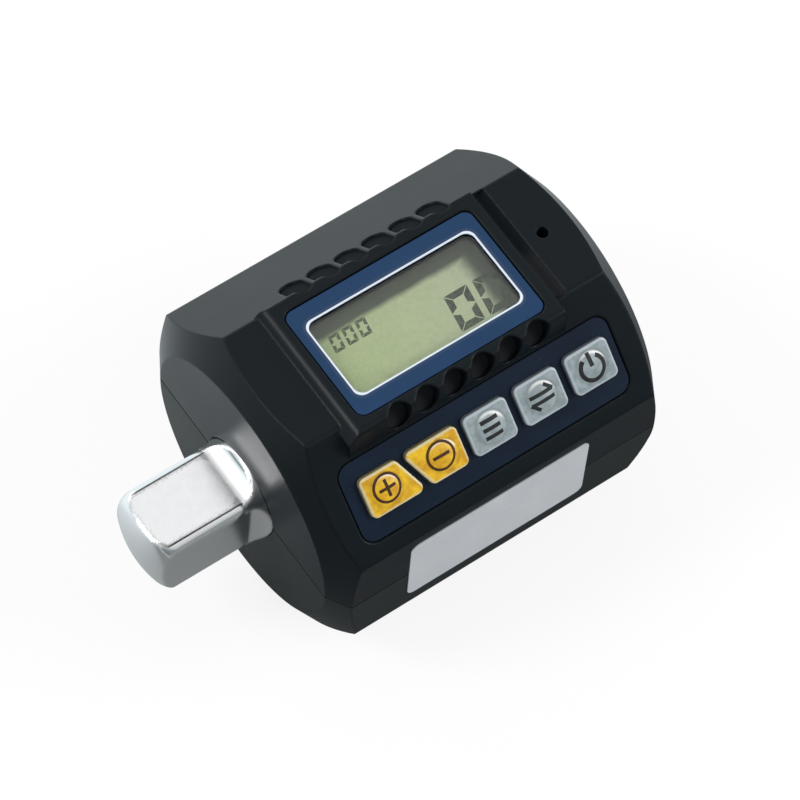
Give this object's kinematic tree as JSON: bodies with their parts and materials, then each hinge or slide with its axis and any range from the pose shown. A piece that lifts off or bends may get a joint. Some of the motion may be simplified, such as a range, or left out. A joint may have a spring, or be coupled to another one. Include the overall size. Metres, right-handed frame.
{
  "type": "digital torque adapter",
  "caption": "Octagonal in-line torque gauge with a male square drive, a female square at its back, a raised display console and a sloping key row.",
  "frame": {"origin": "on the torque axis, in the plane where the four flats of the male square end", "axes": "+X along the torque axis from the male square to the female square, -Y towards the keys, +Z out of the display"},
  "size_m": [0.0812, 0.0515, 0.0526],
  "materials": {
    "black_plastic": "satin",
    "chrome_steel": "polished",
    "ball_steel": "polished",
    "spring_steel": "drawn wire",
    "contact_steel": "nickel plated sheet",
    "screw_steel": "zinc plated",
    "seal_rubber": "soft",
    "bezel_blue": "printed panel",
    "line_white": "printed line",
    "window_clear": "clear",
    "display_green": "display layer",
    "reflector_silver": "pearl",
    "holder_white": "moulded",
    "zebra_pink": "soft",
    "board_green": "solder mask",
    "chip_black": "moulded",
    "switch_plastic": "moulded",
    "gauge_film": "film",
    "overlay_blue": "fine grain film",
    "key_yellow": "silicone",
    "key_grey": "silicone",
    "cell_sleeve": "plain sleeve",
    "label_silver": "silver film"
  },
  "bodies": {
    "adapter": {"upper_housing": "black_plastic", "lower_housing": "black_plastic", "torque_shaft": "chrome_steel", "detent_spring": "spring_steel", "contact_coils": "spring_steel", "contact_plates": "contact_steel", "housing_screws": "screw_steel", "board_screws": "screw_steel", "front_seal": "seal_rubber", "rear_seal": "seal_rubber", "display_bezel": "bezel_blue", "bezel_line": "line_white", "display_window": "window_clear", "display_glass": "display_green", "display_reflector": "reflector_silver", "display_holder": "holder_white", "zebra_strips": "zebra_pink", "main_board": "board_green", "key_board": "board_green", "controller_chip": "chip_black", "amplifier_chip": "chip_black", "buzzer": "chip_black", "key_switches": "switch_plastic", "strain_gauges": "gauge_film", "lead_strip": "gauge_film", "key_overlay": "overlay_blue", "cell_near": "cell_sleeve", "cell_far": "cell_sleeve", "side_label": "label_silver"},
    "key_plus_cap": {"key_plus": "key_yellow"},
    "key_minus_cap": {"key_minus": "key_yellow"},
    "key_mode_cap": {"key_mode": "key_grey"},
    "key_unit_cap": {"key_unit": "key_grey"},
    "key_power_cap": {"key_power": "key_grey"},
    "ball": {"detent_ball": "ball_steel"},
    "door": {"battery_door": "black_plastic", "door_screw": "screw_steel"}
  },
  "joints": [
    {"name": "key_plus_press", "type": "slide", "parent": "adapter", "child": "key_plus_cap", "axis": [0, 0.7071, -0.7071], "range_m": [0, 0.0004], "stiffness_N_per_m": 3000, "springref_m": -0.0002},
    {"name": "key_minus_press", "type": "slide", "parent": "adapter", "child": "key_minus_cap", "axis": [0, 0.7071, -0.7071], "range_m": [0, 0.0004], "stiffness_N_per_m": 3000, "springref_m": -0.0002},
    {"name": "key_mode_press", "type": "slide", "parent": "adapter", "child": "key_mode_cap", "axis": [0, 0.7071, -0.7071], "range_m": [0, 0.0004], "stiffness_N_per_m": 3000, "springref_m": -0.0002},
    {"name": "key_unit_press", "type": "slide", "parent": "adapter", "child": "key_unit_cap", "axis": [0, 0.7071, -0.7071], "range_m": [0, 0.0004], "stiffness_N_per_m": 3000, "springref_m": -0.0002},
    {"name": "key_power_press", "type": "slide", "parent": "adapter", "child": "key_power_cap", "axis": [0, 0.7071, -0.7071], "range_m": [0, 0.0004], "stiffness_N_per_m": 3000, "springref_m": -0.0002},
    {"name": "ball_press", "type": "slide", "parent": "adapter", "child": "ball", "axis": [0, 0, 1], "range_m": [0, 0.0009], "stiffness_N_per_m": 4000, "springref_m": -0.0005, "deforming": ["detent_spring"]},
    {"name": "door_swing", "type": "hinge", "parent": "adapter", "child": "door", "pos_m": [0.00745, 0, -0.0254], "axis": [0, 1, 0], "range_deg": [0, 60]}
  ]
}
